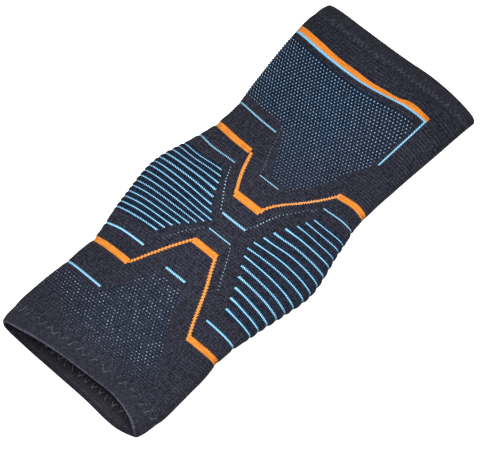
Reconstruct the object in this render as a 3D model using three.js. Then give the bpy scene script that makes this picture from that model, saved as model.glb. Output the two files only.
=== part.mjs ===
// Knitted compression sleeve for a limb's joint, lying relaxed and half flat.
// A tube of thick stretch knit with a fuller middle, rib rolls on both sides of it,
// and a turned, doubled hem at each open end.
// Millimetres, +Z up. +X runs from the near hem, which gapes, to the far hem, which lies flatter.
// +Y is the left side, with the closer rib rolls, and -Y the right side.
import * as THREE from 'three';
import { ParametricGeometry } from 'three/addons/geometries/ParametricGeometry.js';
import { mergeVertices } from 'three/addons/utils/BufferGeometryUtils.js';

// Driving dimensions
const LENGTH = 260; // rim to rim
const KNIT_WALL = 2.0;
const HEM_WALL = 2.6; // the knit doubled and pressed
const NEAR_HEM_DEPTH = 11;
const FAR_HEM_DEPTH = 9;
const SEAM_GAP = 0.3; // between the tube and each hem
const FOLD_LEVEL = 0.42; // share of the height at which the two side folds lie
const UNDERSIDE_CROWN = 4; // squareness of the lower half, as for the crown below
const SETTLE = 0.6; // how far the lower half is pressed flat on what it lies on

// Sections along the sleeve: half the width, how far the middle lies to the left, the height,
// the squareness of the upper half (2 is an ellipse), and how far the courses of the upper half
// bow towards the near hem.
const SECTIONS = [
  { along: 0, halfWidth: 48.2, aside: 1.2, height: 23.7, crown: 2.4, bow: 0 },
  { along: 12, halfWidth: 50.7, aside: 0.6, height: 21.5, crown: 2.35, bow: 1 },
  { along: 30, halfWidth: 50.8, aside: 0.4, height: 19.0, crown: 2.3, bow: 2.5 },
  { along: 65, halfWidth: 49.2, aside: -0.4, height: 16.8, crown: 2.3, bow: 3 },
  { along: 95, halfWidth: 54.6, aside: -0.7, height: 15.8, crown: 2.7, bow: 1.5 },
  { along: 122, halfWidth: 57.9, aside: -1.1, height: 15.1, crown: 3.0, bow: 1 },
  { along: 150, halfWidth: 52.0, aside: -1.3, height: 13.6, crown: 3.05, bow: 2 },
  { along: 175, halfWidth: 48.6, aside: -1.6, height: 12.6, crown: 3.0, bow: 3 },
  { along: 200, halfWidth: 50.7, aside: -0.6, height: 12.6, crown: 3.0, bow: 3 },
  { along: 230, halfWidth: 53.7, aside: 0, height: 13.4, crown: 2.8, bow: 4 },
  { along: 250, halfWidth: 54.8, aside: -0.4, height: 14.2, crown: 2.6, bow: 1.5 },
  { along: 260, halfWidth: 54.2, aside: -2.0, height: 14.6, crown: 2.5, bow: 0 },
];

// How far the two rims push out of square, round the sleeve from the left fold over the crown (90)
// to the right fold (180) and under. The knit evens this out over the fade length.
const RIMS = [
  { turn: 0, near: 1.8, far: 2.0 },
  { turn: 40, near: 2.0, far: 1.2 },
  { turn: 65, near: 0.3, far: 0.3 },
  { turn: 90, near: -1.5, far: 0.2 },
  { turn: 106, near: -2.3, far: 1.2 },
  { turn: 120, near: -2.8, far: 1.0 },
  { turn: 145, near: -0.4, far: -0.2 },
  { turn: 170, near: 2.8, far: -1.1 },
  { turn: 200, near: 2.7, far: -1.0 },
  { turn: 230, near: 4.2, far: 0 },
  { turn: 265, near: 2.4, far: 0.4 },
  { turn: 320, near: 1.4, far: 1.2 },
  { turn: 360, near: 1.8, far: 2.0 },
];
const RIM_FADE = 14;

// Rib rolls, one field on each side. The valleys between the rolls are courses.
const RIB_VALLEYS = 15;
const RIB_FIELDS = {
  // nearest valley, valley to valley, crest over valley, and where the rolls begin on the upper
  // half, as shares of the half width, at the field's middle and at its two ends
  left: { nearest: 90.5, pitch: 3.62, rise: 0.9, beginMiddle: 0.12, beginEnds: 0.46 },
  right: { nearest: 74.6, pitch: 5.53, rise: 1.4, beginMiddle: 0.32, beginEnds: 0.66 },
};
const RIB_RAMP = 0.14; // share of the half width over which a roll rises
const RIB_UNDER = { from: 0.2, to: 0.75 }; // how far round the underside the rolls die away

// Fineness of the walls
const AROUND = 64;
const NEAR_STEPS = 8; // outer steps, near hem to the ribs
const FAR_STEPS = 11; // outer steps, ribs to the far hem
const INNER_STEPS = 15;
const HEM_STEPS = 2;
const RIM_STEPS = 4; // round the rolled edge of a hem

const { lerp, smoothstep } = THREE.MathUtils;

// A smooth curve through the rows of a table, with one value for each named column.
function tableCurve(rows, place, columns) {
  const places = rows.map((row) => row[place]);
  const values = rows.flatMap((row) => columns.map((column) => row[column]));
  return new THREE.CubicInterpolant(places, values, columns.length);
}

const sectionCurve = tableCurve(SECTIONS, 'along', ['halfWidth', 'aside', 'height', 'crown', 'bow']);
const rimCurve = tableCurve(RIMS, 'turn', ['near', 'far']);

function signedPower(value, power) {
  return Math.sign(value) * Math.abs(value) ** power;
}

// A point of the section at a place along the sleeve. The angle is 0 on the left fold and 90 degrees
// on the crown. The inset is how far inside the outer surface the point lies.
function sleevePoint(along, angle, inset, target) {
  const [halfWidth, aside, height, crown, bow] = sectionCurve.evaluate(along);
  const across = signedPower(Math.cos(angle), 2 / crown);
  const over = Math.sin(angle);
  const fold = inset + FOLD_LEVEL * (height - 2 * inset);
  const upper = over >= 0;
  const drop = (fold - inset + SETTLE) * Math.abs(over) ** (2 / UNDERSIDE_CROWN);
  const top = (height - inset - fold) * Math.abs(over) ** (2 / crown);
  const bowed = upper ? bow * over ** 2 : 0;
  const [near, far] = rimCurve.evaluate(THREE.MathUtils.radToDeg(angle));
  const pushed = far * Math.exp((along - LENGTH) / RIM_FADE) - near * Math.exp(-along / RIM_FADE);
  target.set(
    along - LENGTH / 2 - bowed + pushed,
    aside + (halfWidth - inset) * across,
    upper ? fold + top : Math.max(inset, 0, fold - drop),
  );
}

// How far a rib roll stands out. The share is 0 at the field's nearest valley and 1 at its farthest.
function ribRise(angle, crest, share) {
  const across = Math.cos(angle);
  const field = across > 0 ? RIB_FIELDS.left : RIB_FIELDS.right;
  const fromMiddle = Math.abs(2 * share - 1);
  const begin = lerp(field.beginMiddle, field.beginEnds, fromMiddle);
  const side = smoothstep(Math.abs(across), begin, begin + RIB_RAMP);
  const under = 1 - smoothstep(-Math.sin(angle), RIB_UNDER.from, RIB_UNDER.to);
  return field.rise * (crest - 0.5) * side * under;
}

// A station is a closed ring of the wall. It has a place on each side fold, a depth that is 0 outside
// and 1 inside, and where it is part of a rib, a crest and a share of the rib field.
function station(left, right, depth, rib = null) {
  return { left, right, depth, rib };
}

function evenStations(from, to, steps, depth) {
  return Array.from({ length: steps + 1 }, (_, i) => {
    const share = i / steps;
    return station(lerp(from.left, to.left, share), lerp(from.right, to.right, share), depth);
  });
}

function ribStations() {
  const { left, right } = RIB_FIELDS;
  const halfSteps = 2 * (RIB_VALLEYS - 1);
  return Array.from({ length: halfSteps + 1 }, (_, i) => {
    const rib = { crest: i % 2, share: i / halfSteps };
    return station(left.nearest + (i / 2) * left.pitch, right.nearest + (i / 2) * right.pitch, 0, rib);
  });
}

// The rolled edge of a hem, from the outer surface round to the inner one. Facing is -1 at the near
// rim and 1 at the far rim.
function rimStations(rim, facing) {
  const radius = HEM_WALL / 2;
  return Array.from({ length: RIM_STEPS - 1 }, (_, i) => {
    const turn = ((i + 1) / RIM_STEPS) * Math.PI;
    const along = rim - facing * radius * (1 - Math.sin(turn));
    return station(along, along, (1 - Math.cos(turn)) / 2);
  });
}

function wallMesh(name, stations, wall, material) {
  const place = (u, v, target) => {
    const angle = (u % 1) * 2 * Math.PI;
    const ring = stations[Math.round(v * stations.length) % stations.length];
    const along = lerp(ring.right, ring.left, (1 + Math.cos(angle)) / 2);
    const rise = ring.rib ? ribRise(angle, ring.rib.crest, ring.rib.share) : 0;
    sleevePoint(along, angle, ring.depth * wall - rise, target);
  };
  const sheet = new ParametricGeometry(place, AROUND, stations.length);
  sheet.deleteAttribute('normal');
  sheet.deleteAttribute('uv');
  const closed = mergeVertices(sheet);
  closed.computeVertexNormals();
  const mesh = new THREE.Mesh(closed, material);
  mesh.name = name;
  return mesh;
}

function at(along) {
  return { left: along, right: along };
}

function knitTube() {
  const start = at(NEAR_HEM_DEPTH + SEAM_GAP);
  const end = at(LENGTH - FAR_HEM_DEPTH - SEAM_GAP);
  const ribs = ribStations();
  const stations = [
    ...evenStations(start, ribs[0], NEAR_STEPS, 0).slice(0, -1),
    ...ribs,
    ...evenStations(ribs.at(-1), end, FAR_STEPS, 0).slice(1),
    ...evenStations(end, start, INNER_STEPS, 1),
  ];
  const material = new THREE.MeshStandardMaterial({ color: 0x33343f, roughness: 0.9, metalness: 0 });
  return wallMesh('knit_tube', stations, KNIT_WALL, material);
}

function nearHem() {
  const edge = at(HEM_WALL / 2);
  const seam = at(NEAR_HEM_DEPTH);
  const stations = [
    ...evenStations(edge, seam, HEM_STEPS, 0),
    ...evenStations(seam, edge, HEM_STEPS, 1),
    ...rimStations(0, -1).reverse(),
  ];
  const material = new THREE.MeshStandardMaterial({ color: 0x38383f, roughness: 0.92, metalness: 0 });
  return wallMesh('near_hem', stations, HEM_WALL, material);
}

function farHem() {
  const seam = at(LENGTH - FAR_HEM_DEPTH);
  const edge = at(LENGTH - HEM_WALL / 2);
  const stations = [
    ...evenStations(seam, edge, HEM_STEPS, 0),
    ...rimStations(LENGTH, 1),
    ...evenStations(edge, seam, HEM_STEPS, 1),
  ];
  const material = new THREE.MeshStandardMaterial({ color: 0x30303a, roughness: 0.92, metalness: 0 });
  return wallMesh('far_hem', stations, HEM_WALL, material);
}

const sleeve = new THREE.Group();
sleeve.add(knitTube(), nearHem(), farHem());

// The origin is the middle of the sleeve's box, on the surface that it lies on.
const box = new THREE.Box3().setFromObject(sleeve, true);
const middle = box.getCenter(new THREE.Vector3());
sleeve.position.set(-middle.x, -middle.y, -box.min.z);

export default sleeve;
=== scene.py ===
import math
import random

import bmesh
import bpy
import numpy as np
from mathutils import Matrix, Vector


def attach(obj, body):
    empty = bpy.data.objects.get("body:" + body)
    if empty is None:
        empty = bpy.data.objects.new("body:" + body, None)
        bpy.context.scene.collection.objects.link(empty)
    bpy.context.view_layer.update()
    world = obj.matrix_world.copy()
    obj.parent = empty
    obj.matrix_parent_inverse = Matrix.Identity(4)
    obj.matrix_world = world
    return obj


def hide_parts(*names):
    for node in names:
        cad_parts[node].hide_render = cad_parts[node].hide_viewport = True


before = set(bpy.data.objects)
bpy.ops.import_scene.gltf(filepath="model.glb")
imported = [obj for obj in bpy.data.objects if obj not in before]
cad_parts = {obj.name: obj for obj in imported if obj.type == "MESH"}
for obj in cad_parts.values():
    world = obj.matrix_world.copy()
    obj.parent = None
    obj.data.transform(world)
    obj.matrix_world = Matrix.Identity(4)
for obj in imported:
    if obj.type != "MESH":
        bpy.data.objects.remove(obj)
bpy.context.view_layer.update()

print("frame loaded:", sorted(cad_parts))

mm = 0.001
sewDistance = 1e-7  # edges of a bent grid that meet are sewn within this
sides = {"left": -1, "right": 1}  # the sign of the wales on each side of the crown

# How the sleeve lies, in millimetres, from the near rim (0) to the far rim (260)
sleeve = {
    "length": 260,
    "middle": (-1.1, -1.21),  # middle of its box before it is centred
    # along, half width, aside, height, squareness of the crown, bow of the courses
    "sections": [
        (0, 48.2, 1.2, 23.7, 2.4, 0),
        (12, 50.7, 0.6, 21.5, 2.35, 1),
        (30, 50.8, 0.4, 19.0, 2.3, 2.5),
        (65, 49.2, -0.4, 16.8, 2.3, 3),
        (95, 54.6, -0.7, 15.8, 2.7, 1.5),
        (122, 57.9, -1.1, 15.1, 3.0, 1),
        (150, 52.0, -1.3, 13.6, 3.05, 2),
        (175, 48.6, -1.6, 12.6, 3.0, 3),
        (200, 50.7, -0.6, 12.6, 3.0, 3),
        (230, 53.7, 0, 13.4, 2.8, 4),
        (250, 54.8, -0.4, 14.2, 2.6, 1.5),
        (260, 54.2, -2.0, 14.6, 2.5, 0),
    ],
    # turn from the left fold over the crown, push of the near rim, push of the far rim
    "rims": [
        (0, 1.8, 2.0),
        (40, 2.0, 1.2),
        (65, 0.3, 0.3),
        (90, -1.5, 0.2),
        (106, -2.3, 1.2),
        (120, -2.8, 1.0),
        (145, -0.4, -0.2),
        (170, 2.8, -1.1),
        (200, 2.7, -1.0),
        (230, 4.2, 0),
        (265, 2.4, 0.4),
        (320, 1.4, 1.2),
        (360, 1.8, 2.0),
    ],
    "rimFade": 14,
    "foldLevel": 0.42,
    "underCrown": 4,
    "settle": 0.6,
    "wales": 208,  # lengthwise stitch columns, 0 on the crown, minus to the left
    "coursePitch": 0.92,
    "columns": 168,  # of the mesh
    "turnSteps": 2881,  # of the table that finds a wale's turn, twice round the section
    "bakeMargin": 0.002,
    # along, then how far the courses sag at each of these wales, from the left fold to the right
    "sagWales": (-48, -38, -26, 22, 32, 42, 50),
    "sag": [
        (40, 0, 0, 0, 0, 0, 0, 0),
        (57, -0.6, -0.1, 0.1, 0.1, 0.2, 0, -0.2),
        (70, -1.0, 0, 0.35, 0, -0.2, -0.9, -1.7),
        (81, -2.5, -0.75, -0.1, 0, -0.1, -1.3, -2.4),
        (90, -2.6, -1.2, 0, 0, -0.4, -2.0, -3.3),
        (100, -2.5, -1.2, -0.45, 0, -0.65, -2.0, -3.5),
        (106, -1.9, -0.9, -0.4, -0.2, -0.9, -2.2, -3.8),
        (111, -0.8, -0.2, 0.1, 0.1, -0.4, -1.8, -3.4),
        (115.4, 0.2, 0.5, 0.6, 0.8, 0.8, -0.2, -1.4),
        (120.2, 0.6, 0.8, 0.65, 1.1, 1.5, 0.5, -0.8),
        (126, 0.3, 0.6, 0.8, 0.55, 1.45, 0.75, -0.5),
        (132.3, -0.2, 0.05, 0.5, 0.15, 0.85, 0.2, -0.7),
        (138.6, -0.5, -1.0, -0.05, 0, 0.3, -0.4, -0.9),
        (144, -1.0, -1.7, -0.4, 0.1, 0, -0.85, -1.2),
        (153, 0.2, -0.9, -0.5, 0, 0, -0.3, -0.4),
        (162, 0.7, 0.2, -0.1, 0, 0, 0.3, -0.5),
        (174.5, 0.6, 0.3, 0, 0, -0.2, 0.5, -1.1),
        (186, 0.4, 0.1, 0, 0, 0, 0.2, -0.6),
        (200, 0, 0, 0, 0, -0.1, -0.9, -2.2),
        (220, 0, 0, 0, 0, -0.2, -1.2, -3.0),
        (238, 0, 0, 0, 0, 0, -0.7, -1.8),
        (252, 0, 0, 0, 0, 0, 0, 0),
    ],
    "sagEnds": (-87, -12, 12, 87),  # wales where no course sags: underneath and by the crown
    "drawn": (205, 228, 243, 253),  # courses over which the draw comes in and dies away
    # wale, how far the courses by the top band are drawn towards the far end
    "draw": [
        (-104, 0),
        (-57, 0.45),
        (-42, 0.22),
        (-25, -0.15),
        (-12, -0.25),
        (0, 0.1),
        (12, 1.7),
        (22, 3.35),
        (35, 2.95),
        (50, 0.95),
        (60, 0.1),
        (104, 0),
    ],
    "pinchFade": 6,  # courses on each side of the top band that even out its pinch
    # wale, how much thinner than its courses the band's orange is knitted, and its blue edge
    "pinch": [
        (-104, -0.3, 0.1),
        (-45, -0.3, 0.12),
        (-30, -0.17, 0.2),
        (-21, 0.02, 0.28),
        (-10, -0.08, 0.4),
        (0, 0.12, 0.55),
        (9, 0.2, 0.62),
        (15, 0.39, 0.58),
        (18, 0.41, 0.5),
        (20.5, 0.1, 0.46),
        (23, -0.05, 0.44),
        (27, -0.04, 0.47),
        (30, 0.09, 0.5),
        (36, 0.15, 0.5),
        (104, 0.1, 0.5),
    ],
    "band": (235, 236.9, 239.7),  # blue course, seam of the two colours, last orange course
}


def smoothTable(rows):
    table = np.array(rows, float)
    places, values = table[:, 0], table[:, 1:]
    slopes = np.diff(values, axis=0) / np.diff(places)[:, None]
    tangents = np.vstack([slopes[:1], (slopes[1:] + slopes[:-1]) / 2, slopes[-1:]])

    def at(place):
        place = np.clip(np.asarray(place, float), places[0], places[-1])
        i = np.clip(np.searchsorted(places, place, side="right") - 1, 0, len(places) - 2)
        step = (places[i + 1] - places[i])[..., None]
        t = (place - places[i])[..., None] / step
        ends = values[i] * (1 + 2 * t) * (1 - t) ** 2 + values[i + 1] * t * t * (3 - 2 * t)
        lean = tangents[i] * t * (1 - t) ** 2 - tangents[i + 1] * t * t * (1 - t)
        return np.moveaxis(ends + step * lean, -1, 0)

    return at


def smoothStep(value, low, high):
    t = np.clip((np.asarray(value, float) - low) / (high - low), 0, 1)
    return t * t * (3 - 2 * t)


# 0 up to a, 1 from b to c, and 0 again from d on
def plateau(value, a, b, c, d):
    return smoothStep(value, a, b) * (1 - smoothStep(value, c, d))


def bell(value, middle, half):
    return math.exp(-(((value - middle) / half) ** 2))


sectionAt = smoothTable(sleeve["sections"])
rimAt = smoothTable(sleeve["rims"])
sagAt = smoothTable(sleeve["sag"])
drawAt = smoothTable(sleeve["draw"])
pinchAt = smoothTable(sleeve["pinch"])


# A point of the wall in millimetres, by its turn round the section and its depth in the wall
def wallPoint(along, turn, depth):
    halfWidth, aside, height, crown, bow = sectionAt(along)
    over = np.sin(turn)
    across = np.sign(np.cos(turn)) * np.abs(np.cos(turn)) ** (2 / crown)
    fold = depth + sleeve["foldLevel"] * (height - 2 * depth)
    top = fold + (height - depth - fold) * np.abs(over) ** (2 / crown)
    drop = (fold - depth + sleeve["settle"]) * np.abs(over) ** (2 / sleeve["underCrown"])
    bottom = np.maximum(np.maximum(depth, 0), fold - drop)
    near, far = rimAt(np.degrees(turn) % 360)
    x = along - sleeve["length"] / 2 - np.where(over >= 0, bow * over**2, 0)
    x = x + far * np.exp((along - sleeve["length"]) / sleeve["rimFade"])
    x = x - near * np.exp(-along / sleeve["rimFade"])
    y = aside + (halfWidth - depth) * across
    z = np.where(over >= 0, top, bottom)
    return np.stack([x - sleeve["middle"][0], y - sleeve["middle"][1], z], -1)


# The turn at which each wale lies, by its share of the way round the section
def turnOfWales(along, wales):
    turns = np.linspace(-math.pi, 3 * math.pi, sleeve["turnSteps"])
    outline = wallPoint(np.full(turns.shape, along), turns, 0)[:, 1:]
    way = np.concatenate([[0], np.cumsum(np.linalg.norm(np.diff(outline, axis=0), axis=1))])
    crown = np.interp(math.pi / 2, turns, way)
    return np.interp(crown + wales * way[-1] / 2 / sleeve["wales"], way, turns)


# Where a course lies at each wale: courses sag to the folds and are drawn up by the top band
def courseAlong(course, wales):
    sags = list(zip(sleeve["sagWales"], sagAt(course)))
    sags += [(wale, 0) for wale in sleeve["sagEnds"]]
    sag = smoothTable(sorted(sags))(wales)[0]
    drawn = drawAt(wales)[0] * plateau(course, *sleeve["drawn"])
    first, seam, last = sleeve["band"]
    fade = sleeve["pinchFade"]
    thinner = pinchAt(wales)[1 if course < seam else 0]
    pinched = (np.clip(course, first, last) - seam) * plateau(course, first - fade, first, last, last + fade)
    return course + sag + drawn - thinner * pinched


# Rolls of the rib fields: valleys are the light courses, counted from the near end
ribs = {
    "left": {
        "lines": [
            92, 95.8, 99.5, 102.9, 106.2, 109.2, 112.3, 115.4,
            118.9, 122.5, 126.4, 130.8, 135.1, 139.3, 143,
        ],
        # wale where each line ends, counted out from the crown
        "ends": [
            22.3, 20.3, 18.3, 16, 13, 10.8, 8.4, 6.4,
            9.1, 11.9, 14.2, 16.2, 18, 20.2, 22.8,
        ],
        "rise": 0.75,
        "dark": 0.34,  # how much of the navy tint and of the painted shade of its rolls the field gets
        # thickness of the lines in courses, by their count
        "thick": [(0, 0.76), (3, 0.65), (7, 0.63), (9, 0.78), (11.5, 0.78), (13, 0.61)],
        "pitch": 3.64,  # from line to line, on average
    },
    "right": {
        "lines": [
            82, 88.2, 94.1, 100, 105.8, 110.8, 115.2,
            120, 125.8, 132, 138.5, 144.1, 149, 153.2,
        ],
        "ends": [
            31.8, 28.7, 26, 22.9, 19.7, 17, 15.2,
            15.3, 17, 19, 22.1, 25.8, 28.1, 30.5,
        ],
        "rise": 0.75,
        "dark": 0.2,
        "thick": [
            (0, 0.97), (4, 0.91), (5.5, 0.75), (7, 0.76),
            (8.5, 0.93), (10, 0.95), (11, 0.69), (13, 0.67),
        ],
        "pitch": 5.48,
    },
    "rollUp": (-1, 6),  # wales past a line's end over which its roll rises
    "fadeUnder": (58, 82),  # wales over which the rolls die away under the sleeve
    "fadeEnds": (-0.9, 0.1),  # rolls past the first and the last line over which a field ends
    "crest": (0.75, 0.62),  # the power that rounds a roll, and the level of it that lies in the wall
}


def rollCount(field, course):
    lines = np.array(field["lines"])
    count = np.interp(course, lines, np.arange(len(lines)))
    before = np.minimum(course - lines[0], 0) / field["pitch"]
    after = np.maximum(course - lines[-1], 0) / field["pitch"]
    return count + before + after


# How far the rolls stand out of the wall
def rollRise(course, wales):
    total = np.zeros(wales.shape)
    low, high = ribs["rollUp"]
    before, within = ribs["fadeEnds"]
    power, level = ribs["crest"]
    for side, sign in sides.items():
        field = ribs[side]
        count = rollCount(field, course)
        last = len(field["lines"]) - 1
        start = np.interp(count, np.arange(last + 1), field["ends"])
        shown = plateau(wales * sign, start + low, start + high, *ribs["fadeUnder"])
        shown = shown * plateau(count, before, within, last - within, last - before)
        crest = np.abs(np.sin(math.pi * count)) ** power - level
        total = total + field["rise"] * crest * shown
    return total


# The column and row of each vertex of a new flat grid
def gridPlaces(bm, columns, rows):
    places = {}
    for vert in bm.verts:
        places[vert] = (round((vert.co.x + 1) / 2 * columns), round((vert.co.y + 1) / 2 * rows))
    return places


def addMesh(name, bm):
    mesh = bpy.data.meshes.new(name)
    bm.to_mesh(mesh)
    bm.free()
    made = bpy.data.objects.new(name, mesh)
    bpy.context.collection.objects.link(made)
    return made


# A bent grid with the edges that meet sewn together and its faces outwards
def sewnPiece(name, bm):
    bmesh.ops.remove_doubles(bm, verts=bm.verts, dist=sewDistance)
    if bm.calc_volume(signed=True) < 0:
        bmesh.ops.reverse_faces(bm, faces=bm.faces)
    return addMesh(name, bm)


# A closed tube of cloth from rings, each (course, depth in the wall, inside)
def clothTube(name, rings, relief):
    around, margin = sleeve["columns"], sleeve["bakeMargin"]
    wales = (np.arange(around + 1) / around - 0.5) * sleeve["wales"]
    points, rolls = [], []
    for course, depth, inside in rings + rings[:1]:
        along = courseAlong(course, wales)
        rise = 0 if inside else relief(course, wales)
        points.append(wallPoint(along, turnOfWales(course, wales), depth - rise) * mm)
        rolls.append(np.where(wales < 0, rollCount(ribs["left"], course), rollCount(ribs["right"], course)))
    bm = bmesh.new()
    bmesh.ops.create_grid(bm, x_segments=around, y_segments=len(rings), size=1)
    stitches = bm.loops.layers.uv.new("Stitches")
    bake = bm.loops.layers.uv.new("OFBake")
    roll = bm.verts.layers.float.new("roll")
    place = gridPlaces(bm, around, len(rings))
    for vert, (column, row) in place.items():
        vert.co = points[row][column]
        vert[roll] = rolls[row][column]
    for face in bm.faces:
        first = min(place[loop.vert][1] for loop in face.loops)
        face.material_index = 1 if rings[first][2] else 0
        face.smooth = True
        for loop in face.loops:
            column, row = place[loop.vert]
            course = rings[row % len(rings)][0]
            loop[stitches].uv = (wales[column], course / sleeve["coursePitch"])
            shares = (column / around, row / len(rings))
            loop[bake].uv = [margin + (1 - 2 * margin) * share for share in shares]
    return sewnPiece(name, bm)


def evenly(start, end, pitch):
    count = max(1, round(abs(end - start) / pitch))
    return [start + (end - start) * i / count for i in range(count + 1)]


# The camera at the photo's angle
view = {
    "azimuth": -48.204,
    "elevation": 61.403,
    "distance": 1.635,
    "lens": 229.1,
    "sensor": 36,
    "clipEnd": 20,
    "target": (1.1, 1.21, 6),  # what the camera stands over, in millimetres
    "drop": 4.66,  # how far under the target the picture's middle lies
    "aside": 0.08,  # and how far to the right of it
}


def addCamera():
    azimuth, elevation = math.radians(view["azimuth"]), math.radians(view["elevation"])
    flat = math.cos(elevation)
    back = Vector((math.sin(azimuth) * flat, -math.cos(azimuth) * flat, math.sin(elevation)))
    right = Vector((math.cos(azimuth), math.sin(azimuth), 0))
    up = back.cross(right)
    target = Vector(view["target"]) * mm
    camera = bpy.data.objects.new("Camera", bpy.data.cameras.new("Camera"))
    bpy.context.collection.objects.link(camera)
    camera.data.lens = view["lens"]
    camera.data.sensor_width = view["sensor"]
    camera.data.clip_end = view["clipEnd"]
    camera.location = target + back * view["distance"]
    aim = target - up * view["drop"] * mm + right * view["aside"] * mm
    camera.rotation_mode = "QUATERNION"
    camera.rotation_quaternion = (aim - camera.location).to_track_quat("-Z", "Y")
    bpy.context.scene.camera = camera


addCamera()
print("camera set")


# One value or colour on a surface; sums on it add their nodes
class Field:
    def __init__(self, tree, socket=None):
        self.tree = tree
        self.socket = socket

    def node(self, kind, settings, inputs, output=0):
        made = self.tree.nodes.new(kind)
        for key, value in settings.items():
            setattr(made, key, value)
        for key, value in inputs.items():
            if isinstance(value, Field):
                self.tree.links.new(value.socket, made.inputs[key])
            else:
                made.inputs[key].default_value = value
        return Field(self.tree, made.outputs[output] if len(made.outputs) else None)

    def also(self, output):
        return Field(self.tree, self.socket.node.outputs[output])

    def sum(self, operation, *values):
        return self.node("ShaderNodeMath", {"operation": operation}, dict(enumerate(values)))

    def __add__(self, other):
        return self.sum("ADD", self, other)

    __radd__ = __add__

    def __mul__(self, other):
        return self.sum("MULTIPLY", self, other)

    __rmul__ = __mul__

    def __sub__(self, other):
        return self.sum("SUBTRACT", self, other)

    def __rsub__(self, other):
        return self.sum("SUBTRACT", other, self)

    def __truediv__(self, other):
        return self.sum("DIVIDE", self, other)

    def __pow__(self, other):
        return self.sum("POWER", self, other)

    def __gt__(self, other):
        return self.sum("GREATER_THAN", self, other)

    def __lt__(self, other):
        return self.sum("LESS_THAN", self, other)

    def __and__(self, other):
        return self.sum("MULTIPLY", self, other)

    def __or__(self, other):
        return self.sum("MAXIMUM", self, other)

    def __abs__(self):
        return self.sum("ABSOLUTE", self)

    def floor(self):
        return self.sum("FLOOR", self)

    def part(self):
        return self.sum("FRACT", self)

    # from 0 at low to 1 at high, smoothly
    def ramp(self, low, high):
        span = {"Value": self, "From Min": low, "From Max": high}
        return self.node("ShaderNodeMapRange", {"interpolation_type": "SMOOTHSTEP"}, span)

    # the height of a line through points, as this value goes along
    def through(self, points):
        height = points[0][1]
        for (a, low), (b, high) in zip(points, points[1:]):
            span = {"Value": self, "From Min": a, "From Max": b, "To Min": 0, "To Max": high - low}
            height = self.node("ShaderNodeMapRange", {}, span) + height
        return height

    # low where this is 0, and rise more where it is 1
    def levels(self, low, rise):
        return self * rise + low

    # a value that begins to change at one place and has changed in full at another
    def tone(self, begin, full, low, change):
        return self.ramp(begin, full).levels(low, change)

    def mix(self, share, first, second):
        return self.node("ShaderNodeMix", {"data_type": "RGBA"}, {0: share, 6: first, 7: second}, 2)

    # this colour with another laid over it
    def under(self, other, share):
        return self.mix(share, self, other)

    # this colour made lighter or darker
    def times(self, share):
        return self.node("ShaderNodeVectorMath", {"operation": "SCALE"}, {"Vector": self, "Scale": share})


def anyOf(masks):
    found = masks[0]
    for mask in masks[1:]:
        found = found | mask
    return found


def linear(red, green, blue):
    parts = [value / 255 for value in (red, green, blue)]
    return tuple(p / 12.92 if p <= 0.04045 else ((p + 0.055) / 1.055) ** 2.4 for p in parts) + (1,)


def newMaterial(name):
    material = bpy.data.materials.new(name)
    material.use_nodes = True
    material.node_tree.nodes.clear()
    return material, Field(material.node_tree)


def finishMaterial(start, colour, roughness, height, relief, sheen):
    bump = start.node("ShaderNodeBump", {}, {"Height": height, "Distance": relief * mm, "Strength": 1})
    inputs = {
        "Base Color": colour,
        "Roughness": roughness,
        "Normal": bump,
        "Sheen Weight": sheen,
        "Sheen Roughness": 0.5,
        "Specular IOR Level": 0.05,
    }
    cloth = start.node("ShaderNodeBsdfPrincipled", {}, inputs)
    start.node("ShaderNodeOutputMaterial", {}, {"Surface": cloth})


# How round the leg of a stitch is, and how it swells along its length
stitch = {"legPower": 0.6, "swell": (0.45, 0.55)}


# Stitches of the knit on the piece's own stitch map: which wale and course, and where in the loop
def stitchGrid(start, slant):
    spot = start.node("ShaderNodeUVMap", {"uv_map": "Stitches"}, {})
    across = start.node("ShaderNodeSeparateXYZ", {}, {"Vector": spot})
    column = across + 0.5
    lean = abs(column.part() * 2 - 1)  # 0 on the wale's middle, 1 between two wales
    row = across.also("Y") - lean * slant
    grid = {"spot": spot, "across": across, "lean": lean, "row": row}
    grid["wale"], grid["course"] = column.floor(), row.floor()
    grid["along"] = (grid["course"] + (0.5 + slant / 2)) * sleeve["coursePitch"]
    grid["way"] = (row + slant / 2) * sleeve["coursePitch"]
    leg = 1 - abs(lean - 0.5) * 2
    grid["bulge"] = 1 - abs(row.part() * 2 - 1)
    grid["loop"] = (leg ** stitch["legPower"]) * grid["bulge"].levels(*stitch["swell"])
    grid["ridge"] = (1 - abs((row / 2 + 0.25).part() * 2 - 1)).ramp(0, 1)  # every second course stands out
    return grid


def melange(grid, scale, detail=3):
    inputs = {"Vector": grid["spot"], "Scale": scale, "Detail": detail}
    return grid["spot"].node("ShaderNodeTexNoise", {"noise_dimensions": "2D"}, inputs)


# A chance value for each stitch, for each of its two legs (half a wale) or for a few wales together
def eachStitch(grid, seed, wales=1):
    column = ((grid["across"] if wales < 1 else grid["wale"]) / wales).floor()
    place = column.node("ShaderNodeCombineXYZ", {}, {"X": column, "Y": grid["course"], "Z": seed})
    return place.node("ShaderNodeTexWhiteNoise", {}, {"Vector": place})


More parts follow.
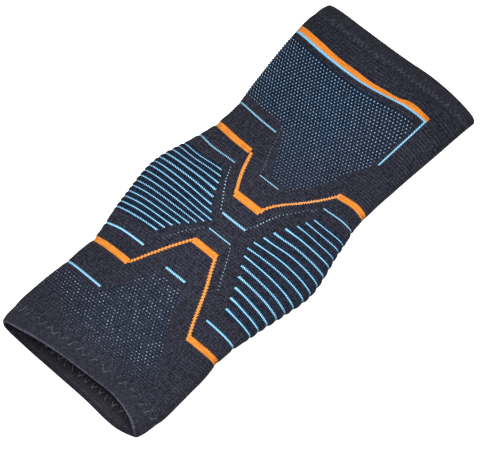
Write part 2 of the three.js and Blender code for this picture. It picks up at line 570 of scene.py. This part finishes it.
# The knitted pattern: places along in millimetres, across in wales
chart = {
    "bars": [  # from, to, first wale, last wale
        (236.9, 239.7, -80, 35.4),
        (161.2, 164.6, -78, -21.2),
        (134.4, 138.9, -8.6, 7),
        (172.6, 176.2, 31.3, 78),
        (66.2, 70.0, -78, -22.3),
        (98.9, 102.6, -5.8, 8.2),
        (54.9, 58.2, 30.4, 78),
    ],
    "slants": [  # half the width and the teeth in wales, then places and wales from the near end up
        (0.88, 0.43, [(136, -8.3), (140, -10.1), (145, -12.9), (150, -15.3), (155, -17.3), (163, -20.5)]),
        (0.7, 0.87, [
            (134.5, 6.5), (141, 8.1), (145, 10.3), (150, 13.9), (155, 18.3),
            (160, 22.3), (165, 26.1), (170, 29.6), (175, 32.6),
        ]),
        (0.68, 0.87, [
            (68.2, -22.1), (73, -19.7), (79, -16.8), (84.5, -13.9), (90, -11.2), (95, -8.5), (101, -5.4),
        ]),
        (0.78, 0.87, [
            (55.5, 31.1), (59.5, 29.3), (62.5, 27.8), (68.5, 24.9), (77.5, 20.4),
            (86.5, 15.5), (92.5, 12.1), (101.8, 7.4),
        ]),
    ],
    "lines": [  # place, thickness, first wale, last wale
        (235.9, 1.75, -80, 35.4),
        (181.6, 0.8, -78, -19.3),
        (154.9, 0.5, -7.7, 5.7),
        (122.8, 1.25, -5.4, 8.2),
        (111, 0.7, -4.4, 8.2),
        (79.4, 1.15, -5.4, 7.1),
        (48.1, 1.2, -78, -22.5),
        (151.8, 0.7, -80, -21.5),
        (81.2, 1.22, -80, -22.8),
        (162.6, 0.85, 30.3, 80),
        (70.6, 1.2, 30.7, 80),
    ],
    "lengthwise": (202.5, 237, 35, 0.46),  # from, to, wale, half width
    "dotRows": [  # places, wales and strengths, from the near end up
        [(123.5, -6.9, 0.9), (130.5, -11.2, 1.0), (137, -15.4, 1.35), (140, -17.3, 0.9), (149.6, -21.9, 0.4)],
        [
            (123, 8.2, 0.2), (128, 10.4, 0.3), (133, 11.9, 1.4), (137, 13.2, 1.0),
            (143, 15.8, 0.4), (149.5, 20.5, 0.25), (155, 24.5, 0.25), (159, 28.1, 0.16),
        ],
        [(90, -17.7, 0.14), (95.8, -14.9, 0.2), (100, -12.6, 0.32), (104, -10.1, 0.25), (110.5, -5.5, 0.14)],
        [(86.5, 21.9, 0.4), (93.2, 18.2, 0.47), (99, 15.2, 0.52), (102, 13.8, 0.45), (111, 8.9, 0.25)],
        [(156, -7.2, 0.22), (172, -14.6, 0.2), (187, -19, 0.22)],
    ],
    # the dotted fields: wale and place along their edges, then their other limits
    "upperEdge": [
        (-50, 188), (-24, 188.3), (-17.5, 186), (-12.8, 177.5), (-9.8, 172), (-7.4, 166), (-4, 159.3),
        (-1, 158), (9, 158), (14.8, 163.5), (18.8, 170.5), (23.2, 177.5), (26.5, 188), (32.8, 199),
    ],
    "upperTop": 232,
    "upperWales": (-80, 33),
    "lowerEdge": [
        (-23.5, 45), (-17.6, 53), (-13, 62), (-10.6, 70), (-8.2, 75), (-4.3, 76), (8.5, 75.5),
        (12.4, 71.5), (15.8, 63.5), (19.8, 51.5), (26.6, 43), (31.6, 25), (33.4, 18),
    ],
    "lowerBottom": 14,
    "lowerWales": (-75, 33.4),
    "lowerBlend": (-1, 4),  # millimetres over which the lower field comes in
}
yarn = {
    "slant": 0.55,
    "charcoal": linear(43, 44, 54),
    "pale": linear(49, 50, 61),
    "navy": linear(24, 42, 64),
    "orange": linear(232, 142, 56),
    "bandOrange": linear(230, 135, 46),
    "paleOrange": linear(240, 172, 118),  # of the slants
    "blue": linear(66, 172, 228),
    # painted highlight on the beads of the blue lines
    "blueShine": linear(208, 248, 255),
    "showThrough": linear(8, 54, 90),  # light yarn behind the dark beside a rib line
    "dot": linear(172, 209, 244),
    "whiteDot": linear(208, 225, 242),
    "lowerDot": linear(184, 198, 214),
    "rowDot": linear(172, 214, 240),
    "relief": 0.35,
    "sheen": 0.01,
}
# Tones of the knit. Two numbers: the value where its field is 0, and how much more where it is 1.
# Four: where a change begins and is full, across in wales or along in millimetres, then the value
# before it and the change. Those that differ have a note.
tones = {
    "cloud": (0.3, 0.75),  # melange over which the darker yarn goes to the paler
    # painted shade between the legs and courses of each stitch
    "loop": (0.72, 0.48),
    "grain": (0.42, 1.16),
    "ridges": (0.64, 0.3),  # painted shade and light of every second course's ridge, and how much more by the far right fold
    "paintedRidgeShadeFarRight": ((22, 38), (150, 180)),  # where that is: across, along
    # painted light on the crown and painted shade down the flanks
    "crown": (6, 26, 1.1, -0.14),
    # painted shade: the far end darker
    "farEndPaintedShade": (218, 244, 1, -0.16),
    # painted shade near the left fold by the near end
    "paintedShadeNearLeft": ((-14, -30), (85, 60)),  # a darker place: across, along
    "paintedShadeNearLeftTone": (1, -0.07),
    "groundNavy": 0.85,  # share of navy in the dotted fields
    "groundShade": (1, -0.12),
    "showThrough": 0.75,  # share of it beside a rib line
    "dotAcross": (0.62, 0.26),  # from the edge of a dot to its middle, in its stitch
    "dotAlong": (0.15, 0.62),  # likewise
    "dotWhite": (0.2, 0.9),  # chance over which a dot goes from blue to white
    "upperAlong": (152, 210, 0.4, 0.7),
    "upperRight": (0, 20, 1, -0.12),
    "upperGroundRight": (0, 20, 1, -0.3),
    "upperDot": (0.44, 0.6),
    "lowerLean": (-44, -14, 0, 10),  # how far the near end of the lower field leans
    "lowerFade": (23, 42),  # places over which it comes in
    "lowerGround": (-37, -10, 0.324, 0.081),
    "lowerLeft": (-30, -16, 1.2, -0.25),
    "lowerTop": (50, 66, 0, 0.4),
    "lowerDot": (0.11, 1),
    "drift": (0.3, 0.7, 0.7, 0.4),  # of the lower dots, by a wide melange
    "rowDotHalf": 0.28,  # half width of a dot in the dotted rows, in wales
    "rowDotAlong": (0.05, 0.45),  # from its edge to its middle
    "rowDot": (0.62, 0.6),
    "lineEnd": (1, 6, 1.35, -0.35),  # a rib line is thicker where it begins
    "lineUnder": (99, -0.8),  # wale under the sleeve where it stops, by the wale where it begins
    "beside": (0.3, 1.7, 1, -1),  # millimetres from a rib line
    "ribbedTintAndShade": (-2, 2),  # wales past a line's end over which the navy tint and painted shade come in
    "beadLean": 0.8,  # wales that a bead of the blue yarn leans for each course
    "shineSum": 0.65,  # weight of a line's middle and of its beads in its shine
    "shine": (0.4, 1.1),  # sum of both over which the blue goes to its shine
    "bandShine": (226, 232, 1, -0.2),
    # painted light in the middle of each bead and painted shade at its sides
    "bead": (0.6, 0.56),
    "bluePaintedShadeRight": (24, 38, 1, -0.1),
    # painted shade between the courses of the orange
    "orangeBulge": (0.74, 0.5),
    "orangeGrain": (0.93, 0.14),
    "orangePaintedShadeRight": (20, 36, 1, -0.1),
    "dashWales": 3,  # length of the darker dashes in the orange
    "dash": (0.3, 0.1, 1.03, -0.2),  # by chance
    "slantPale": (0.15, 0.45),  # share of pale orange in a slant, and how much more in the far right one
    "slantRight": ((8, 22), (110, 130)),  # where that is: across, along
    "slantTeeth": (0.45, 0.6),  # level of the bulge that keeps its tone, and contrast
    "height": (0.5, 0.7, 0.2),  # of the loops, of every second course and of the flecks
    "rough": (0.88, -0.1),
}


# Masks of the orange yarn: all of it, and its slants alone
def orangeMasks(grid):
    along, wale = grid["along"], grid["wale"]
    bars, slants = [], []
    for low, high, first, last in chart["bars"]:
        bars.append((along > low) & (along < high) & (wale > first) & (wale < last))
    for half, tooth, points in chart["slants"]:
        middle = (grid["row"] * sleeve["coursePitch"]).through(points)
        stepped = ((middle / tooth).floor() + 0.5) * tooth
        within = (along > points[0][0]) & (along < points[-1][0])
        slants.append((abs(grid["across"] - stepped) < half) & within)
    return anyOf(bars + slants), anyOf(slants)


# The light blue lines, how near a line's middle each place is, the navy tint and painted shade of the
# rib fields, and how much light yarn shows through beside a rib line
def lineMasks(grid):
    across, wale, along = grid["across"], grid["wale"], grid["along"]
    found = {"blue": [], "core": [], "ribbedTintAndShade": [], "beside": []}

    def addLine(apart, within):
        mask = (apart < 1) & within
        found["blue"].append(mask)
        found["core"].append((1 - apart) & mask)

    for place, thick, first, last in chart["lines"]:
        addLine(abs(grid["way"] - place) / (thick / 2), (wale > first) & (wale < last))
    low, high, place, half = chart["lengthwise"]
    addLine(abs(across - place) / half, (along > low) & (along < high))
    roll = across.node("ShaderNodeAttribute", {"attribute_name": "roll"}, {}, "Fac")
    for side, sign in sides.items():
        field = ribs[side]
        count = roll + (0.5 - grid["lean"]) * (yarn["slant"] * sleeve["coursePitch"] / field["pitch"])
        nearest = (count + 0.5).floor()
        end = nearest.through(list(enumerate(field["ends"])))
        out = across * sign
        counted = (nearest > -0.5) & (nearest < len(field["lines"]) - 0.5)
        shown = (out > end) & (out < end.levels(*tones["lineUnder"])) & counted
        thick = nearest.through(field["thick"]) * (out - end).tone(*tones["lineEnd"])
        apart = abs(count - nearest) * field["pitch"]
        addLine(apart / (thick * (sleeve["coursePitch"] / 2)), shown)
        found["beside"].append(apart.tone(*tones["beside"]) & shown)
        found["ribbedTintAndShade"].append((out - end).ramp(*tones["ribbedTintAndShade"]) & counted & field["dark"])
    return {name: anyOf(masks) for name, masks in found.items()}


# The ground of the dotted fields, their dots, and the dots of the dotted rows
def dotMasks(grid):
    across, wale, along = grid["across"], grid["wale"], grid["along"]
    chance = eachStitch(grid, seed=1.7)
    pair = grid["course"] / 2
    evenCourse = pair.part() < 0.25
    lattice = evenCourse & (((wale + pair.floor()) / 2).part() < 0.25)
    lattice = lattice & grid["lean"].ramp(*tones["dotAcross"]) & grid["bulge"].ramp(*tones["dotAlong"])

    first, last = chart["upperWales"]
    upper = (along > wale.through(chart["upperEdge"])) & (along < chart["upperTop"])
    upper = upper & (wale > first) & (wale < last)
    upper = upper & along.tone(*tones["upperAlong"]) & across.tone(*tones["upperRight"])
    first, last = chart["lowerWales"]
    lower = (wale.through(chart["lowerEdge"]) - along).ramp(*chart["lowerBlend"])
    lower = lower & (along > chart["lowerBottom"]) & (wale > first) & (wale < last)
    lower = lower & (along + wale.tone(*tones["lowerLean"])).ramp(*tones["lowerFade"])
    lowerShine = wale.tone(*tones["lowerLeft"]) + along.tone(*tones["lowerTop"])
    drift = melange(grid, scale=0.12, detail=2).tone(*tones["drift"])

    found = {"ground": upper & across.tone(*tones["upperGroundRight"])}
    found["ground"] = found["ground"] | (lower & wale.tone(*tones["lowerGround"]))
    found["upper"] = upper & lattice & chance.levels(*tones["upperDot"])
    found["lower"] = lower & lattice & lowerShine & drift & (chance**3).levels(*tones["lowerDot"])
    rows = []
    for points in chart["dotRows"]:
        apart = abs(across - along.through([(place, column) for place, column, _ in points]))
        strength = along.through([(place, strength) for place, _, strength in points])
        within = (along > points[0][0]) & (along < points[-1][0])
        rows.append((apart < tones["rowDotHalf"]) & evenCourse & strength & within)
    found["rows"] = anyOf(rows) & grid["bulge"].ramp(*tones["rowDotAlong"]) & chance.levels(*tones["rowDot"])
    return found


# How far a place lies in a corner of the sleeve
def corner(grid, acrossSpan, alongSpan):
    return grid["across"].ramp(*acrossSpan) * grid["along"].ramp(*alongSpan)


# The blue yarn: each bead painted light in its middle and shaded at its sides, with a painted highlight where
# it is brightest
def blueColour(grid, core):
    bead = 1 - abs((grid["across"] + grid["row"] * tones["beadLean"]).part() * 2 - 1)
    shine = ((core + bead) * tones["shineSum"]).ramp(*tones["shine"])
    shine = shine * grid["along"].tone(*tones["bandShine"])
    colour = bead.mix(shine, yarn["blue"], yarn["blueShine"])
    # painted shade towards the right fold
    return colour.times(bead.levels(*tones["bead"]) * grid["across"].tone(*tones["bluePaintedShadeRight"]))


# The orange yarn, with painted shade between its courses, stronger in the slants
def orangeColour(grid, slants, grain):
    colour = slants.mix(grid["along"] > chart["upperTop"], yarn["orange"], yarn["bandOrange"])
    paler = corner(grid, *tones["slantRight"]).levels(*tones["slantPale"])
    colour = colour.under(yarn["paleOrange"], slants * paler)
    dashes = eachStitch(grid, seed=0, wales=tones["dashWales"]).tone(*tones["dash"])
    level, contrast = tones["slantTeeth"]
    teeth = (slants * (grid["bulge"] - level)).levels(1, contrast)
    # each stitch's own random tone, and painted shade towards the right fold
    wearAndShade = grain.levels(*tones["orangeGrain"]) * grid["across"].tone(*tones["orangePaintedShadeRight"])
    return colour.times(grid["bulge"].levels(*tones["orangeBulge"]) * dashes * teeth * wearAndShade)


def stripedKnit():
    material, start = newMaterial("stripedKnit")
    grid = stitchGrid(start, yarn["slant"])
    orange, slants = orangeMasks(grid)
    lines, dots = lineMasks(grid), dotMasks(grid)
    fleck = melange(grid, scale=1.6, detail=1)
    grain = eachStitch(grid, seed=6.3, wales=0.5)

    cloud = melange(grid, scale=0.35).ramp(*tones["cloud"])
    colour = start.mix(cloud, yarn["charcoal"], yarn["pale"])
    colour = colour.under(yarn["navy"], (dots["ground"] * tones["groundNavy"]) | lines["ribbedTintAndShade"])
    colour = colour.under(yarn["showThrough"], lines["beside"] * tones["showThrough"])
    ridges = corner(grid, *tones["paintedRidgeShadeFarRight"]).levels(*tones["ridges"])
    shade = grid["loop"].levels(*tones["loop"]) * ((grid["ridge"] - 0.5) * ridges + 1)
    # painted shade over the rib fields
    shade = shade * grain.levels(*tones["grain"]) * (1 - lines["ribbedTintAndShade"])
    # painted light on the crown, painted shade down the flanks and painted shade towards the far end
    shade = shade * abs(grid["across"]).tone(*tones["crown"]) * grid["along"].tone(*tones["farEndPaintedShade"])
    # painted shade near the left fold by the near end
    shade = shade * corner(grid, *tones["paintedShadeNearLeft"]).levels(*tones["paintedShadeNearLeftTone"])
    colour = colour.times(shade * dots["ground"].levels(*tones["groundShade"]))

    white = eachStitch(grid, seed=3.9).ramp(*tones["dotWhite"])
    upperDot = start.mix(white, yarn["dot"], yarn["whiteDot"])
    colour = colour.under(upperDot, dots["upper"]).under(yarn["lowerDot"], dots["lower"])
    colour = colour.under(yarn["rowDot"], dots["rows"])
    colour = colour.under(blueColour(grid, lines["core"]), lines["blue"])
    colour = colour.under(orangeColour(grid, slants, grain), orange)
    loops, courses, flecks = tones["height"]
    height = grid["loop"] * loops + grid["ridge"] * courses + fleck * flecks
    finishMaterial(start, colour, fleck.levels(*tones["rough"]), height, yarn["relief"], yarn["sheen"])
    return material


# Plain knit of the hems and of the wrong side, whose dark grey is painted lighter as painted light inside the
# sleeve
plainYarns = {
    "hemKnit": {"base": linear(44, 44, 54), "pale": linear(50, 50, 60), "slant": 0.5},
    "insideKnitPaintedLight": {"base": linear(49, 49, 56), "pale": linear(55, 55, 62), "slant": 0.15},
}
plainTones = {
    # loop and ridge: painted shade of the stitches' relief
    "loop": (0.75, 0.45),
    "grain": (0.6, 0.8),
    "ridge": (0.94, 0.12),
    "under": (42, 56),  # wales from the upper half to the lower
    # painted highlight on the turned edge of the upper half
    "lip": (-0.2, 0.55, 3.5, -3.5),  # courses from the rim: the turned edge of the upper half is lighter
    # painted shade on the turned edge of the lower half
    "underLipPaintedShade": (1, 2.5, -0.3, 0.3),  # and that of the lower half darker
    "fleck": 0.3,
    "rough": (0.9, -0.1),
    "relief": 0.25,
    "sheen": 0.01,
}


def plainKnit(name):
    look = plainYarns[name]
    material, start = newMaterial(name)
    grid = stitchGrid(start, look["slant"])
    fleck = melange(grid, scale=1.4, detail=1)
    grain = eachStitch(grid, seed=4.1, wales=0.5)
    cloud = melange(grid, scale=0.4).ramp(*tones["cloud"])
    colour = start.mix(cloud, look["base"], look["pale"])
    under = abs(grid["across"]).ramp(*plainTones["under"])
    # painted highlight along the turned edge of the upper half
    lip = grid["row"].tone(*plainTones["lip"]) & (1 - under)
    # painted shade on the turned edge of the lower half
    underLipPaintedShade = grid["row"].tone(*plainTones["underLipPaintedShade"]) & under
    shade = grid["loop"].levels(*plainTones["loop"]) * grain.levels(*plainTones["grain"])
    shade = shade * grid["ridge"].levels(*plainTones["ridge"]) * (lip + underLipPaintedShade + 1)
    # painted shade towards the far end
    shade = shade * grid["along"].tone(*tones["farEndPaintedShade"])
    height = grid["loop"] + fleck * plainTones["fleck"]
    roughness = fleck.levels(*plainTones["rough"])
    finishMaterial(start, colour.times(shade), roughness, height, plainTones["relief"], plainTones["sheen"])
    return material


# Thread of the zigzags: its darker and its lighter yarn. The inside rows' thread is painted lighter, as
# painted light inside the sleeve, and the far row's a little darker, as painted shade of the far end
threadYarns = {
    "zigzagThread": (linear(64, 64, 72), linear(110, 110, 119)),
    "farThreadPaintedShade": (linear(58, 58, 66), linear(96, 96, 106)),
    "insideThreadPaintedLight": (linear(88, 88, 97), linear(138, 138, 148)),
}
threadTones = {
    "twists": 3,
    "wear": (0.3, 0.7),  # noise over which the darker yarn goes to the lighter
    "wearScale": 0.6,
    "ply": (0.8, 0.3),
    "rough": (0.7, 0.1),
    "relief": 0.08,
    "sheen": 0.02,
}


def threadLook(name):
    material, start = newMaterial(name)
    spot = start.node("ShaderNodeUVMap", {"uv_map": "Stitches"}, {})
    run = start.node("ShaderNodeSeparateXYZ", {}, {"Vector": spot})
    ply = abs((run * threadTones["twists"] + run.also("Y")).part() * 2 - 1)
    inputs = {"Vector": spot, "Scale": threadTones["wearScale"]}
    wearAndShade = start.node("ShaderNodeTexNoise", {"noise_dimensions": "2D"}, inputs)
    colour = start.mix(wearAndShade.ramp(*threadTones["wear"]), *threadYarns[name])
    # painted shade in the grooves between the plies
    colour = colour.times(ply.levels(*threadTones["ply"]))
    roughness = wearAndShade.levels(*threadTones["rough"])
    finishMaterial(start, colour, roughness, ply, threadTones["relief"], threadTones["sheen"])
    return material


looks = {"stripedKnit": stripedKnit()}
looks.update({name: plainKnit(name) for name in plainYarns})
looks.update({name: threadLook(name) for name in threadYarns})
print("materials made")

# The tube: coarse rings at its ends, fine ones between, and few inside
tube = {
    "start": 11.15,
    "end": 250.85,
    "wall": 2.0,
    "round": 0.35,  # of its edges at the hems
    "roundStep": 0.1,
    "coarse": 1.14,
    "fine": 0.52,
    "inner": 5,
    "fineFrom": 44,
    "dotRidge": (186, 232, 0.45),  # first and last course of the dotted field's ridges, and their rise
    "ridgeFade": 3,
    "ridgeWales": (34, 46, 60, 80),  # wales from the crown over which they come in and die away
    "pullWales": (24, 42, 68, 90),  # likewise for the pulls
    # where bars and lines draw a fold in, or let it out: course, how deep, half width
    "leftPulls": [
        (48.1, 0.5, 1.1),
        (57, -0.45, 6),
        (68.1, 1.1, 2.4),
        (75, 0.4, 4),
        (81.2, 0.7, 1.1),
        (128, -0.4, 12),
        (151.8, 0.6, 1.1),
        (156.5, 0.45, 4),
        (162.9, 1.0, 2.6),
        (180.8, 0.3, 1.1),
    ],
    "rightPulls": [
        (46, -0.5, 7),
        (56.9, 0.6, 2.4),
        (70.6, 0.6, 1.1),
        (92, 0.4, 7),
        (118, -0.35, 7),
        (162.6, 0.6, 1.1),
        (167, 0.55, 6),
        (174.5, 0.3, 2.4),
    ],
}
# The hems: where each begins and ends, wall, and the dip that the zigzag pulls
hems = {
    "near": {"rim": 0, "seam": 11.15, "stitchedAt": 10.6},
    "far": {"rim": 260, "seam": 250.85, "stitchedAt": 250.8},
    "wall": 2.6,
    "round": (0.3, 0.35),  # of the edge at the seam, along and into the wall
    "pitch": (0.8, 1.2),  # of the rings outside and inside
    "lipSteps": 10,
    "dip": 0.3,
    "dipWidth": 2.2,
    "puff": 0.25,
    "puffLength": 8,
    "smoothFold": (30, 46, 62, 82),  # wales by the right fold where neither dip nor puff shows
    "smoothFrom": (200, 240),  # courses over which that comes in
}


def unsmoothed(course, wales):
    return 1 - plateau(wales, *hems["smoothFold"]) * smoothStep(course, *hems["smoothFrom"])


def sewnDip(course, wales):
    dip = sum(bell(course, hems[end]["stitchedAt"], hems["dipWidth"]) for end in ("near", "far"))
    return hems["dip"] * dip * unsmoothed(course, wales)


# The hem swells a little between its seam and its rim
def hemRelief(end):
    rim = hems[end]["rim"]

    def relief(course, wales):
        share = min(1, abs(course - rim) / hems["puffLength"])
        puff = hems["puff"] * math.sin(math.pi * share) ** 2
        return puff * unsmoothed(course, wales) - sewnDip(course, wales)

    return relief


# Low ridges of the dotted field, every second course, that show by the left fold
def dotRidges(course, wales):
    first, last, rise = tube["dotRidge"]
    fade = tube["ridgeFade"]
    shown = plateau(course, first, first + fade, last - fade, last) * plateau(-wales, *tube["ridgeWales"])
    return rise * math.cos(math.pi * (course / sleeve["coursePitch"] - 1)) * shown


def foldPulls(course, wales):
    total = 0
    for side, sign in sides.items():
        shown = plateau(wales * sign, *tube["pullWales"])
        for place, deep, half in tube[side + "Pulls"]:
            total = total + deep * bell(course, place, half) * shown
    return total


def tubeRelief(course, wales):
    rise = rollRise(course, wales) + dotRidges(course, wales)
    return rise - foldPulls(course, wales) - sewnDip(course, wales)


def tubeRings():
    a, b, wall = tube["start"], tube["end"], tube["wall"]
    r, step = tube["round"], tube["roundStep"]
    last = tube["dotRidge"][1]
    outer = evenly(a + r, tube["fineFrom"], tube["coarse"])[:-1]
    outer += evenly(tube["fineFrom"], last, tube["fine"])[:-1]
    outer += evenly(last, b - r, tube["coarse"])
    rings = [(a, r, False), (a + step, step, False)]
    rings += [(course, 0, False) for course in outer]
    rings += [(b - step, step, False), (b, r, False), (b, wall - r, True)]
    rings += [(course, wall, True) for course in evenly(b - r, a + r, tube["inner"])]
    return rings + [(a, wall - r, True)]


def hemRings(end):
    rim, seam = hems[end]["rim"], hems[end]["seam"]
    inward = 1 if rim < seam else -1
    wall, radius, steps = hems["wall"], hems["wall"] / 2, hems["lipSteps"]
    back, deep = hems["round"]
    outerPitch, innerPitch = hems["pitch"]
    edge, lip = seam - inward * back, rim + inward * radius
    rings = [(seam, deep, False)]
    rings += [(course, 0, False) for course in evenly(edge, lip, outerPitch)]
    for i in range(1, steps):
        turn = math.pi * i / steps
        course = rim + inward * radius * (1 - math.sin(turn))
        rings.append((course, wall * (1 - math.cos(turn)) / 2, False))
    rings += [(course, wall, True) for course in evenly(lip, edge, innerPitch)]
    return rings + [(seam, wall - deep, True)]


def dress(piece, *names):
    for name in names:
        piece.data.materials.append(looks[name])


knitTube = clothTube("KnitTube", tubeRings(), tubeRelief)
dress(knitTube, "stripedKnit", "insideKnitPaintedLight")
nearHem = clothTube("NearHem", hemRings("near"), hemRelief("near"))
dress(nearHem, "hemKnit", "insideKnitPaintedLight")
farHem = clothTube("FarHem", hemRings("far"), hemRelief("far"))
dress(farHem, "hemKnit", "insideKnitPaintedLight")
print("tube and hems made")

# Zigzag rows: first and last course, depth in the wall, zigzags round, the corners of each (share of
# the zigzag, which of the courses, chance that the next leg lies sunk), thread radius, unevenness
zigzags = {
    "NearZigzag": {
        "courses": (8.2, 12.4),
        "depth": 0.2,
        "count": 44,
        "corners": [(0, 0, 0.15), (0.34, 1, 0.92)],
        "radius": 0.2,
        "uneven": 0.8,
        "faint": (-54, -22),  # wales between which it lies deeper
        "look": "zigzagThread",
    },
    "NearInsideZigzag": {
        "courses": (6, 8.4),
        "depth": 2.62,
        "count": 42,
        "corners": [(0, 0, 0.1), (0.28, 1, 1), (0.72, 1, 0.2)],
        "radius": 0.22,
        "uneven": 0.4,
        "look": "insideThreadPaintedLight",
    },
    "FarZigzag": {
        "courses": (251.4, 254.1),
        "depth": 0.18,
        "count": 84,
        "corners": [(0, 0, 0.3), (0.5, 1, 0.4)],
        "radius": 0.16,
        "uneven": 0.8,
        "look": "farThreadPaintedShade",
    },
    "FarInsideZigzag": {
        "courses": (252, 255),
        "depth": 2.62,
        "count": 60,
        "corners": [(0, 0, 0.3), (0.5, 1, 0.3)],
        "radius": 0.17,
        "uneven": 0.3,
        "look": "insideThreadPaintedLight",
    },
}
# How all rows are sewn. Legs and corners lie from 0, on the cloth, to 1, sunk in it.
sewing = {
    "steps": 6,  # of each leg
    "sides": 6,  # of the thread
    "aside": 0.12,  # unevenness of the corners, as a share of a zigzag
    "sunkLeg": 0.95,
    "raisedLeg": 0.25,  # at most
    "faintLeg": 0.6,  # at least, where a row is faint
    "corner": 0.5,
    "cornerPower": 6,  # the higher, the shorter is the thread's way into the cloth
    "proud": 0.5,  # how far a raised leg stands out, in radii
    "lift": 0.2,  # of the outer rows out of the dip, in millimetres
    "uvStep": 0.5,
}


# The thread's way as courses, wales and depths, in small steps that go into the cloth at each turn
def zigzagWay(row, seed):
    chance = random.Random(seed)
    pitch = sleeve["wales"] / row["count"]
    first, last = row.get("faint", (0, 0))
    corners = []
    for i in range(row["count"]):
        for share, end, sunk in row["corners"]:
            course = row["courses"][end] + chance.uniform(-1, 1) * row["uneven"]
            moved = share + chance.uniform(-1, 1) * sewing["aside"] * row["uneven"]
            low = sewing["sunkLeg"] if chance.random() < sunk else chance.uniform(0, sewing["raisedLeg"])
            wale = (i + moved) * pitch - sleeve["wales"] / 2
            corners.append((course, wale, max(low, sewing["faintLeg"]) if first < wale < last else low))
    corners.append((corners[0][0], corners[0][1] + sleeve["wales"], sewing["corner"]))
    way = []
    for (a, p, low), (b, q, _) in zip(corners, corners[1:]):
        for i in range(sewing["steps"]):
            share = i / sewing["steps"]
            turned = math.cos(math.pi * share) ** sewing["cornerPower"]
            depth = sewing["corner"] * turned + low * (1 - turned)
            way.append((a + (b - a) * share, p + (q - p) * share, depth))
    return way + [corners[-1]]


def threadRow(name, seed):
    row = zigzags[name]
    way = zigzagWay(row, seed)
    radius, rounds, last = row["radius"], sewing["sides"], len(way) - 1
    outward = 1 if row["depth"] < 1 else -1
    line, above = [], []
    for course, wale, sunk in way:
        turn = turnOfWales(course, np.array([wale]))
        along = courseAlong(course, np.array([wale]))
        depth = row["depth"] + outward * radius * (sunk * 2 - sewing["proud"])
        depth = depth + (sewnDip(course, wale) - sewing["lift"] if outward > 0 else 0)
        line.append(wallPoint(along, turn, depth)[0])
        above.append(wallPoint(along, turn, depth - outward)[0])
    line, above = np.array(line), np.array(above)
    ahead = np.roll(line[:-1], -1, axis=0) - np.roll(line[:-1], 1, axis=0)
    ahead = np.vstack([ahead, ahead[:1]])
    ahead /= np.linalg.norm(ahead, axis=1)[:, None]
    normal = above - line
    normal -= ahead * np.sum(normal * ahead, axis=1)[:, None]
    normal /= np.linalg.norm(normal, axis=1)[:, None]
    side = np.cross(ahead, normal)
    bm = bmesh.new()
    bmesh.ops.create_grid(bm, x_segments=last, y_segments=rounds, size=1)
    stitches = bm.loops.layers.uv.new("Stitches")
    place = gridPlaces(bm, last, rounds)
    for vert, (step, turn) in place.items():
        angle = 2 * math.pi * turn / rounds
        off = math.cos(angle) * normal[step] + math.sin(angle) * side[step]
        vert.co = (line[step] + radius * off) * mm
    for face in bm.faces:
        face.smooth = True
        for loop in face.loops:
            step, turn = place[loop.vert]
            loop[stitches].uv = (step * sewing["uvStep"], turn / rounds)
    piece = sewnPiece(name, bm)
    dress(piece, row["look"])
    return piece


threads = [threadRow(name, seed) for seed, name in enumerate(zigzags)]
print("zigzag rows made")

# Every piece goes with the sleeve's one body
for piece, slotName in [(knitTube, "striped_knit"), (nearHem, "hem_knit"), (farHem, "hem_knit")]:
    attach(piece, "root")
for piece in threads:
    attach(piece, "root")
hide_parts("knit_tube")
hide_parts("near_hem")
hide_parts("far_hem")

# Plain pale floor and soft light from above
studio = {
    "floor": 6,
    "floorDrop": 0.3,  # in millimetres, so that nothing lies in the floor
    "glow": 1,
    "sky": 0.2,
    "key": 7.7,
    "keySize": 0.45,
    "keyAt": (-0.165, -0.13, 0.68),
}


def addStudio():
    bm = bmesh.new()
    bmesh.ops.create_grid(bm, x_segments=1, y_segments=1, size=studio["floor"] / 2)
    floor = addMesh("Floor", bm)
    floor.location.z = -studio["floorDrop"] * mm
    floor.visible_diffuse = False  # no light thrown back up at the cloth
    material, start = newMaterial("paleFloor")
    inputs = {
        "Base Color": (0.95, 0.95, 0.95, 1),
        "Roughness": 0.9,
        "Specular IOR Level": 0.1,
        "Emission Color": (1, 1, 1, 1),
        "Emission Strength": studio["glow"],
    }
    ground = start.node("ShaderNodeBsdfPrincipled", {}, inputs)
    start.node("ShaderNodeOutputMaterial", {}, {"Surface": ground})
    floor.data.materials.append(material)
    world = bpy.data.worlds.new("World")
    bpy.context.scene.world = world
    world.use_nodes = True
    sky = world.node_tree.nodes["Background"]
    sky.inputs["Color"].default_value = (1, 1, 1, 1)
    sky.inputs["Strength"].default_value = studio["sky"]
    key = bpy.data.objects.new("Key", bpy.data.lights.new("Key", "AREA"))
    key.data.size = studio["keySize"]
    key.data.energy = studio["key"]
    key.location = studio["keyAt"]
    key.rotation_mode = "QUATERNION"
    key.rotation_quaternion = (-key.location).to_track_quat("-Z", "Y")
    bpy.context.collection.objects.link(key)
    bpy.context.scene.view_settings.view_transform = "Standard"


addStudio()
print("studio made")
